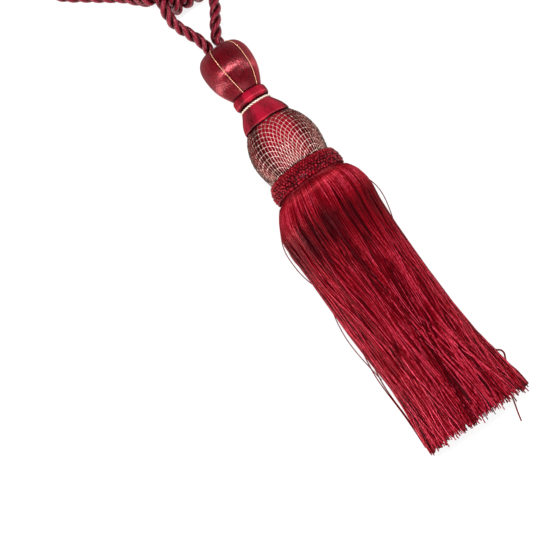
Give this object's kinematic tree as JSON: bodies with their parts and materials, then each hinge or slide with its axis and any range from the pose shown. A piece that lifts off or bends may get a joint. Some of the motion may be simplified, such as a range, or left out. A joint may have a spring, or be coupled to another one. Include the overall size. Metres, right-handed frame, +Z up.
{
  "type": "curtain tieback tassel",
  "caption": "Satin and net covered tassel with a long thread fringe, lying down, on a twisted cord knotted round a doubled tieback rope with an eye at each side.",
  "frame": {"origin": "on the table under the middle of the tassel's own box, without the cord and the tieback rope", "axes": "+Z up from the table, +Y from the fringe's cut end towards the head and the knot, +X to the tassel's right side"},
  "size_m": [0.1385, 0.3942, 0.0575],
  "materials": {
    "crimson_satin": "wound satin thread",
    "gilt_thread": "single metallic thread",
    "cream_cord": "fine wound cord",
    "netted_satin": "satin thread under a fine metallic net",
    "crimson_braid": "nubby braid",
    "crimson_fringe": "loose rayon thread",
    "crimson_rope": "three-ply twisted rope"
  },
  "bodies": {
    "root": {"head_ball": "crimson_satin", "gilt_line_1": "gilt_thread", "gilt_line_2": "gilt_thread", "gilt_line_3": "gilt_thread", "gilt_line_4": "gilt_thread", "gilt_line_5": "gilt_thread", "collar": "crimson_satin", "cream_band": "cream_cord", "cone": "crimson_satin", "net_ball": "netted_satin", "braid_band": "crimson_braid", "fringe": "crimson_fringe", "tassel_cord": "crimson_rope", "tieback_rope": "crimson_rope"}
  },
  "joints": []
}
